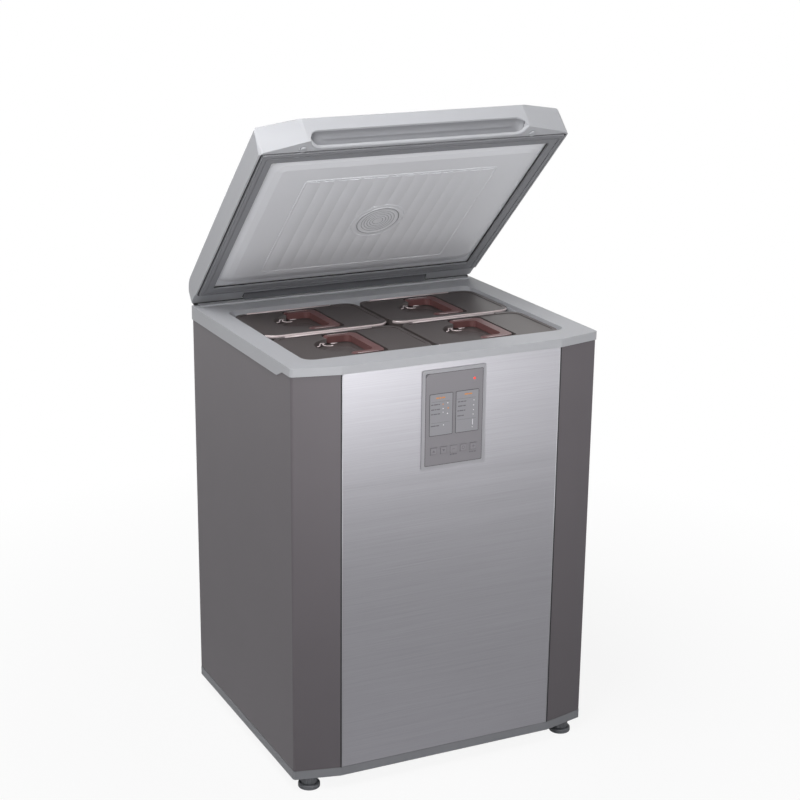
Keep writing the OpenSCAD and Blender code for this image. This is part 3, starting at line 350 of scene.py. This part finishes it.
class Piece:
    """A mesh made ring by ring in millimetres, that rides on one body."""

    def __init__(self, name, body, finish, slot, turn=Matrix.Identity(4), smooth=True):
        self.name, self.body, self.finish, self.slot = name, body, finish, slot
        self.turn, self.smooth = turn, smooth
        self.mesh = bmesh.new()

    def skin(self, rings, closed=False):
        """Joins rings of equal length; their ends are filled, or the last meets the first."""
        rows = [[self.mesh.verts.new(p) for p in ring] for ring in rings]
        if closed:
            rows.append(rows[0])
        for a, b in zip(rows, rows[1:]):
            for i in range(len(a)):
                j = (i + 1) % len(a)
                self.mesh.faces.new((a[i], a[j], b[j], b[i]))
        if not closed:
            self.mesh.faces.new(rows[0][::-1])
            self.mesh.faces.new(rows[-1])

    def bead(self, path, width, height, up=(0, 0, 1), closed=False, sides=8):
        """A rounded strip along a path, width across and height above and below it."""
        up = Vector(up)
        path = [Vector(p) for p in path]
        rings = []
        for i, p in enumerate(path):
            before = path[i - 1] if closed or i else p
            after = path[(i + 1) % len(path)] if closed or i + 1 < len(path) else p
            side = (after - before).normalized().cross(up).normalized()
            rings.append([p + side * width / 2 * math.cos(math.tau * k / sides)
                          + up * height * math.sin(math.tau * k / sides) for k in range(sides)])
        self.skin(rings, closed)

    def mark(self, outline, y, rise=0.08, bury=0.1):
        """A thin print or plate on a face that looks to the front."""
        edge = min(rise, 0.05)
        centre = Vector((sum(p[0] for p in outline), sum(p[1] for p in outline))) / len(outline)
        rings = []
        for inset, at in ((0.0, y + bury), (0.0, y - rise + edge), (edge, y - rise)):
            ring = []
            for x, z in outline:
                away = Vector((x, z)) - centre
                away *= max(away.length - inset, 0.01) / max(away.length, 0.01)
                ring.append((centre.x + away.x, at, centre.y + away.y))
            rings.append(ring)
        self.skin(rings)

    def loop(self, outer, inner, y, rise=0.08, bury=0.1):
        """A thin closed line on a face that looks to the front, between two outlines."""
        self.skin([[(x, at, z) for x, z in outline] for outline, at in
                   ((outer, y + bury), (outer, y - rise), (inner, y - rise), (inner, y + bury))],
                  closed=True)

    def done(self, materials):
        bmesh.ops.recalc_face_normals(self.mesh, faces=self.mesh.faces)
        data = bpy.data.meshes.new(self.name)
        self.mesh.transform(Matrix.Scale(MM, 4) @ self.turn)
        self.mesh.to_mesh(data)
        self.mesh.free()
        for face in data.polygons:
            face.use_smooth = self.smooth
        made = bpy.data.objects.new(self.name, data)
        bpy.context.scene.collection.objects.link(made)
        data.materials.append(materials[self.finish])
        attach(made, self.body)


# ---- control panel ----


def dashes(piece, x0, x1, z, height, lengths, y, gap=0.9):
    """A row of short bars between x0 and x1, as a line of print looks from afar."""
    scale = (x1 - x0 - gap * (len(lengths) - 1)) / sum(lengths)
    x = x0
    for length in lengths:
        end = x + length * scale
        piece.mark(rounded(x, z - height / 2, end, z + height / 2, height * 0.3, 3), y)
        x = end + gap


def make_panel_lines(materials):
    """The dark lines round the two windows and round the panel's cover sheet."""
    frames = Piece("window_frames", "cabinet", "black_line_and_shade", "overlay_plastic", smooth=False)
    outside, inside = 0.55, 0.15
    for side in (-1, 1):
        x0, x1 = side * WINDOW_X - WINDOW_W / 2, side * WINDOW_X + WINDOW_W / 2
        z0, z1 = WINDOW_Z - WINDOW_H / 2, WINDOW_Z + WINDOW_H / 2
        frames.loop(rounded(x0 - outside, z0 - outside, x1 + outside, z1 + outside, 2.0),
                    rounded(x0 + inside, z0 + inside, x1 - inside, z1 - inside, 1.4),
                    WINDOW_Y, 0.06, 0.4)
    frames.done(materials)

    edge = Piece("overlay_edge", "cabinet", "black_line_and_shade", "overlay_plastic", smooth=False)
    x0, z0, x1, z1 = OVERLAY
    half = 0.4
    edge.loop(rounded(x0 - half, z0 - half, x1 + half, z1 + half, 2.2),
              rounded(x0 + half, z0 + half, x1 - half, z1 - half, 1.8), OVERLAY_Y, 0.05)
    edge.done(materials)


def make_panel_print(materials):
    """Plain dashes and dots where the panel has print, and the lit lens."""
    amber = Piece("display_amber", "cabinet", "print_amber", "window_plastic", smooth=False)
    dashes(amber, -35.7, -18.1, 713.7, 2.4, (4, 3, 5), WINDOW_Y)
    dashes(amber, 19.8, 34.8, 714.5, 2.4, (5, 4), WINDOW_Y)
    for x, z, r in ((-22.1, 701.6, 1.1), (-12.0, 693.7, 1.5)):
        amber.mark(circle(x, z, r, 16), WINDOW_Y)
    amber.done(materials)

    white = Piece("display_white", "cabinet", "print_white", "window_plastic", smooth=False)
    dots = ((-12.9, 703.1, 1.0), (-21.9, 693.7, 1.0), (-21.8, 687.1, 0.8), (-13.2, 684.0, 1.1),
            (-20.6, 663.8, 0.9), (38.6, 701.9, 0.9), (38.1, 692.8, 0.9), (37.9, 684.2, 0.9),
            (37.5, 676.1, 0.9), (36.3, 652.9, 0.8))
    for x, z, r in dots:
        white.mark(circle(x, z, r, 14), WINDOW_Y)
    white.mark(rounded(36.2, 656.9, 37.4, 667.6, 0.5, 3), WINDOW_Y)
    white.done(materials)

    dark = Piece("display_dark", "cabinet", "print_dark", "window_plastic", smooth=False)
    rows = ((-45.3, -28.2, 702.2, (3, 5, 2)), (-45.3, -27.8, 693.3, (4, 2, 4)),
            (-45.2, -27.5, 685.0, (2, 4, 3)), (-45.4, -29.1, 663.7, (5, 3)),
            (7.1, 23.5, 701.8, (3, 4, 3)), (7.3, 22.6, 693.9, (5, 3)), (6.2, 21.8, 685.5, (2, 5, 2)),
            (6.3, 19.2, 676.3, (4, 3)))
    for x0, x1, z, lengths in rows:
        dashes(dark, x0, x1, z, 1.9, lengths, WINDOW_Y)
    rules = ((-45.0, -8.6, 707.2), (-45.5, -8.6, 669.0), (4.6, 42.4, 707.1), (6.0, 42.6, 669.2))
    for x0, x1, z in rules:
        dark.mark(rounded(x0, z - 0.2, x1, z + 0.2, 0.1, 2), WINDOW_Y)
    dashes(dark, -6.8, 6.8, 607.6, 2.6, (4, 5, 3), OVERLAY_Y)
    dashes(dark, 31.2, 45.2, 607.2, 2.0, (3, 3, 4), OVERLAY_Y)
    dark.done(materials)

    lens = Piece("led_lens", "cabinet", "lamp_red", "window_plastic")
    profile = ((2.3, -260.2), (2.3, -260.8), (2.0, -261.0), (1.2, -261.12), (0.4, -261.15))
    lens.skin([[(x, y, z) for x, z in circle(*LED_AT, r, 20)] for r, y in profile])
    lens.done(materials)


def make_keys(materials):
    """A thin square and a small sign on each key; the middle key has a bar alone."""
    z, rise = KEY_Z, 0.04
    for i in range(KEY_COUNT):
        x = (i - KEY_COUNT // 2) * KEY_PITCH
        signs = Piece(f"key_{i + 1}_sign", f"key_{i + 1}", "print_dark", "key_plastic", smooth=False)
        if i != KEY_COUNT // 2:
            signs.loop(rounded(x - 5.7, z - 5.7, x + 5.7, z + 5.7, 1.2),
                       rounded(x - 5.3, z - 5.3, x + 5.3, z + 5.3, 1.0), KEY_Y, rise)
        if i == 0:
            signs.mark([(x - 2.6, z - 1.8), (x + 2.6, z - 1.8), (x, z + 2.4)], KEY_Y, rise)
        elif i == 1:
            signs.mark([(x + 2.6, z + 1.8), (x - 2.6, z + 1.8), (x, z - 2.4)], KEY_Y, rise)
        elif i == 2:
            signs.mark(rounded(x - 3.0, z - 0.4, x + 3.0, z + 0.4, 0.3, 3), KEY_Y, rise)
        elif i == 3:
            signs.loop(circle(x, z, 2.8, 20), circle(x, z, 2.1, 20), KEY_Y, rise)
        else:
            signs.mark(rounded(x - 2.8, z - 0.5, x + 2.8, z + 0.5, 0.4, 3), KEY_Y, rise)
            signs.mark(rounded(x - 0.5, z - 2.8, x + 0.5, z + 2.8, 0.4, 3), KEY_Y, rise)
        signs.done(materials)


# ---- cabinet ----


def make_seams(materials):
    """Painted shade and highlight along the line between the middle and the side sheets: a dark strip
    where the gap is in shade, and a bright strip for the lit cut edge.
    """
    shade_strip = Piece("seam_shade", "cabinet", "black_line_and_shade", "dark_rubber")
    edges = Piece("seam_highlight", "cabinet", "painted_highlight_steel", "front_steel")
    for side in (-1, 1):
        dark, bright = side * FLAT_HALF, side * (FLAT_HALF - 2.0)
        shade_strip.bead([(dark, FACE_Y, PANEL_FOOT), (dark, FACE_Y, PANEL_HEAD)], 2.4, 0.35, BACK)
        edges.bead([(bright, FACE_Y, PANEL_FOOT), (bright, FACE_Y, PANEL_HEAD)], 1.2, 0.3, BACK)
    shade_strip.done(materials)
    edges.done(materials)


def make_hinge_trim(materials):
    """Painted shade at the hinge: soft dark strips for the shaded slots between the rim and the lid's
    lugs, and a thin dark washer beside each lug that fills the gap there.
    """
    rear = Piece("rear_shade_strips", "cabinet", "black_line_and_shade", "dark_rubber")
    y, z = 243, RIM_Z + 1.8
    for side in (-1, 1):
        rear.bead([(side * 190, y, z), (side * 294, y, z)], 14, 1.9, sides=12)
    rear.done(materials)

    shade_washers = Piece("hinge_shade_washers", "cabinet", "black_line_and_shade", "hinge_plastic")
    profile = ((-0.7, 4.2), (-0.7, 9.4), (-0.4, 9.9), (0.4, 9.9), (0.7, 9.4), (0.7, 4.2))
    for side in (-1, 1):
        shade_washers.skin([[(side * 196 + dx, HINGE.y + y, HINGE.z + z) for y, z in circle(0, 0, r, 28)]
                      for dx, r in profile], closed=True)
    shade_washers.done(materials)


# ---- lid ----


def make_liner_trim(materials):
    """The border of the ribs, and the rings of the round vent."""
    border = Piece("rib_border", "lid", "liner_plastic", "liner_plastic", TURN_LID)
    w, d = RIB_HALF
    border.bead(level(rounded(-w, VENT_Y - d, w, VENT_Y + d, 6, 6), PLUG_Z - 0.1), 2.2, 0.7, DOWN,
                closed=True)
    border.done(materials)

    # painted highlight: the ring is in the lighter highlight steel, for the shine round the vent
    ring = Piece("vent_ring", "lid", "painted_highlight_steel", "liner_plastic", TURN_LID)
    ring.bead(level(circle(0, VENT_Y, VENT_RING_R, 72), PLUG_Z - 1.5), 2.2, 0.6, DOWN, closed=True)
    ring.done(materials)

    ripples = Piece("vent_ripples", "lid", "liner_plastic", "liner_plastic", TURN_LID)
    ripples.bead(level(circle(0, VENT_Y, VENT_RIPPLE_R, 72), PLUG_Z - 0.9), 1.6, 0.5, DOWN, closed=True)
    ripples.done(materials)

    vent = Piece("vent_grooves", "lid", "print_pale", "liner_plastic", TURN_LID)
    for r in VENT_GROOVE_R:
        vent.bead(level(circle(0, VENT_Y, r, 48), PLUG_Z - 1.45), 1.3, 0.35, DOWN, closed=True)
    vent.done(materials)


def make_gasket_trim(materials):
    """Painted shade in the dark gaps on both sides of the gasket, and a painted highlight in the light
    line along it.
    """
    gap = Piece("gasket_shade", "lid", "black_line_and_shade", "grey_rubber", TURN_LID)
    gap.bead(level(rounded(-295.6, -237.6, 295.6, 220.2, 6), RIM_Z + 4.0), 2.6, 1.2, DOWN, closed=True)
    gap.bead(level([(-268, 194.6), (268, 194.6), (270, 192), (270, -206)], RIM_Z + 4.4), 2.0, 1.0, DOWN)
    gap.done(materials)

    # painted highlight: a light line along the gasket
    line = Piece("gasket_line", "lid", "painted_highlight_steel", "grey_rubber", TURN_LID)
    line.bead(level(rounded(-292.4, -234.9, 292.4, 217.4, 5), RIM_Z + 1.7), 1.1, 0.35, DOWN, closed=True)
    line.done(materials)


def make_grip(materials):
    """The finger groove's rounded lower lip, and its lining with a soft ridge, in a darker grey than the
    lid that is painted shade in the groove.
    """
    lip = Piece("grip_lip", "lid", "lid_plastic", "lid_plastic", TURN_LID)
    half = [(-209.5, -254.5, 808), (-208.0, -253.6, 803), (-203.5, -250.5, 799), (-197, -246.6, 797.2),
            (-188, -245.0, 796.9), (-150, -244.8, 796.8), (-60, -244.8, 796.8)]
    lip.bead(half + [(-x, y, z) for x, y, z in reversed(half)], 7.0, 3.0, (0, -0.8, -0.6), sides=12)
    lip.done(materials)

    # painted shade: the lining is darker than the lid, standing for the shade in the groove
    shade_lining = Piece("grip_shade_lining", "lid", "groove_painted_shade", "lid_plastic", TURN_LID)
    first, sweep, steps = -9, 84, 22         # degrees that the lining covers, in steps
    ridge_height, ridge_width, thickness = 3.0, 9, 0.8
    end = [184, 188, 194, 199, 204, 207]
    rings = []
    for x in [-x for x in reversed(end)] + list(range(-176, 177, 22)) + end:
        r = math.sqrt(GRIP_R ** 2 - max(abs(x) - GRIP_STRAIGHT, 0) ** 2)
        swell = ridge_height * min(max((GRIP_STRAIGHT - abs(x)) / 8, 0), 1)
        face, back = [], []
        for k in range(steps + 1):
            angle = first + sweep * k / steps
            near = r - swell * math.exp(-((angle - GRIP_RIDGE) / ridge_width) ** 2)
            y, z = math.cos(math.radians(angle)), math.sin(math.radians(angle))
            face.append((x, GRIP[0] + near * y, GRIP[1] + near * z))
            back.append((x, GRIP[0] + (r + thickness) * y, GRIP[1] + (r + thickness) * z))
        rings.append(face + back[::-1])
    shade_lining.skin(rings)
    shade_lining.done(materials)


# ---- containers ----


def make_container_trim(materials):
    """Painted highlights on the containers: a light rolled front edge, a bright line on the latch, a
    light wire clip that stands for a glint, and light edges on the handle.
    """
    w, d = BOX_HALF
    r = BOX_CORNER - 0.8
    for name, (cx, cy) in CELLS.items():
        # painted highlight along the lid's rounded front edge and corners
        highlight_roll = Piece(f"{name}_roll", f"{name}_lid", "painted_highlight_pearl", "cover_plastic")
        x0, x1, y0 = cx - w + BOX_CORNER, cx + w - BOX_CORNER, cy - d + BOX_CORNER
        path = circle(x0, y0, r, 10, 212, 58) + circle(x1, y0, r, 10, 270, 64)
        highlight_roll.bead(level(path, LID_TOP - 3.0), 4.4, 3.0, sides=12)
        highlight_roll.done(materials)

        # painted highlight along the latch's top edge
        line = Piece(f"{name}_latch_highlight", f"{name}_latch", "painted_highlight_pearl", "latch_plastic")
        y = cy + d + 0.6
        line.bead(level([(cx - 93, y), (cx + 77, y)], LID_TOP - 1.2), 5.6, 1.7, sides=10)
        line.done(materials)

        # painted glint: a light wire clip where the lid shines beside the handle
        glint_clip = Piece(f"{name}_clip", f"{name}_lid", "painted_highlight_pearl", "cover_plastic")
        tail = [(cx - 66, cy + 2), (cx - 61, cy + 4), (cx - 57, cy + 12), (cx - 53, cy + 20)]
        hook = circle(cx - 42, cy + 8, 10, 16, 110, 190)
        glint_clip.bead(level(tail + hook, LID_TOP - 0.9), 2.6, 0.8)
        glint_clip.bead(level([(cx - 36, cy + 12), (cx - 24, cy + 12)], LID_TOP - 0.9), 2.4, 0.8)
        glint_clip.done(materials)

        # painted highlights along the handle's top edges
        edge = Piece(f"{name}_handle_highlight", f"{name}_handle", "painted_highlight_pearl", "handle_plastic")
        x, y, half = cx - 20, cy + 3, (2 * d - 34) / 2
        for at, width, height in ((y - half + 1.2, 1.8, 0.5), (y + half - 2.0, 1.4, 0.4)):
            edge.bead(level([(x + 2, at), (x + 42, at)], LID_TOP - 1.0), width, height)
        edge.done(materials)


# ---- light and stage ----


def seen(tree):
    """1 for what is seen straight, mirrored or through glass, and 0 for what only lights."""
    path = tree.nodes.new("ShaderNodeLightPath")
    value = path.outputs["Is Camera Ray"]
    for other in ("Is Glossy Ray", "Is Transmission Ray"):
        both = tree.nodes.new("ShaderNodeMath")
        both.operation = "MAXIMUM"
        tree.links.new(value, both.inputs[0])
        tree.links.new(path.outputs[other], both.inputs[1])
        value = both.outputs[0]
    return value


def make_world():
    """Faint even light, and plain white wherever the surroundings are seen."""
    world = bpy.data.worlds.new("studio")
    bpy.context.scene.world = world
    world.use_nodes = True
    tree = world.node_tree
    tree.nodes.clear()
    output = tree.nodes.new("ShaderNodeOutputWorld")
    light, white = (tree.nodes.new("ShaderNodeBackground") for _ in range(2))
    light.inputs["Color"].default_value = WORLD_TINT
    light.inputs["Strength"].default_value = WORLD_LIGHT
    white.inputs["Color"].default_value = (1, 1, 1, 1)
    white.inputs["Strength"].default_value = 1.0
    mix = tree.nodes.new("ShaderNodeMixShader")
    tree.links.new(seen(tree), mix.inputs["Fac"])
    tree.links.new(light.outputs[0], mix.inputs[1])
    tree.links.new(white.outputs[0], mix.inputs[2])
    tree.links.new(mix.outputs[0], output.inputs["Surface"])


def make_lights():
    for name, at, aim, size, power, spread in LAMPS:
        data = bpy.data.lights.new(name, "AREA")
        data.shape = "RECTANGLE"
        data.size, data.size_y = size
        data.energy = power
        data.spread = math.radians(spread)
        light = bpy.data.objects.new(name, data)
        light.location = at
        light.rotation_euler = (Vector(aim) - Vector(at)).to_track_quat("-Z", "Y").to_euler()
        light.visible_camera = False
        bpy.context.scene.collection.objects.link(light)


def make_stage():
    """A white floor that keeps a faint shadow near the object and none far from it."""
    half = FLOOR_HALF
    mesh = bpy.data.meshes.new("floor")
    mesh.from_pydata([(-half, -half, 0), (half, -half, 0), (half, half, 0), (-half, half, 0)],
                     [], [(0, 1, 2, 3)])
    floor = bpy.data.objects.new("floor", mesh)
    bpy.context.scene.collection.objects.link(floor)
    g = Graph("floor")
    g.set(Base_Color=FLOOR_COLOUR, Roughness=0.7)
    white = g.node("ShaderNodeEmission")
    white.inputs["Strength"].default_value = 1.0
    length = g.node("ShaderNodeVectorMath", operation="LENGTH")
    g.link(g.place(), length.inputs[0])
    distance = length.outputs["Value"]
    path = g.node("ShaderNodeLightPath")
    share = g.node("ShaderNodeMix", data_type="FLOAT")
    g.link(path.outputs["Is Camera Ray"], share.inputs["Factor"])
    g.link(g.spread(distance, *WHITE_MIRRORED), share.inputs[2])
    g.link(g.spread(distance, *WHITE_STRAIGHT), share.inputs[3])
    white_share = g.node("ShaderNodeMath", operation="MULTIPLY")
    g.link(seen(g.tree), white_share.inputs[0])
    g.link(share.outputs[0], white_share.inputs[1])
    mix = g.node("ShaderNodeMixShader")
    g.link(white_share.outputs[0], mix.inputs["Fac"])
    g.link(g.shader.outputs[0], mix.inputs[1])
    g.link(white.outputs[0], mix.inputs[2])
    g.link(mix.outputs[0], g.output.inputs["Surface"])
    mesh.materials.append(g.material)


make_camera()
make_world()
make_lights()
make_stage()
MATERIALS = make_materials()
dress_frame(MATERIALS)
soften_frame()
for make in (make_panel_lines, make_panel_print, make_keys, make_seams, make_hinge_trim,
             make_liner_trim, make_gasket_trim, make_grip, make_container_trim):
    make(MATERIALS)

bpy.context.scene.view_settings.view_transform = "Standard"
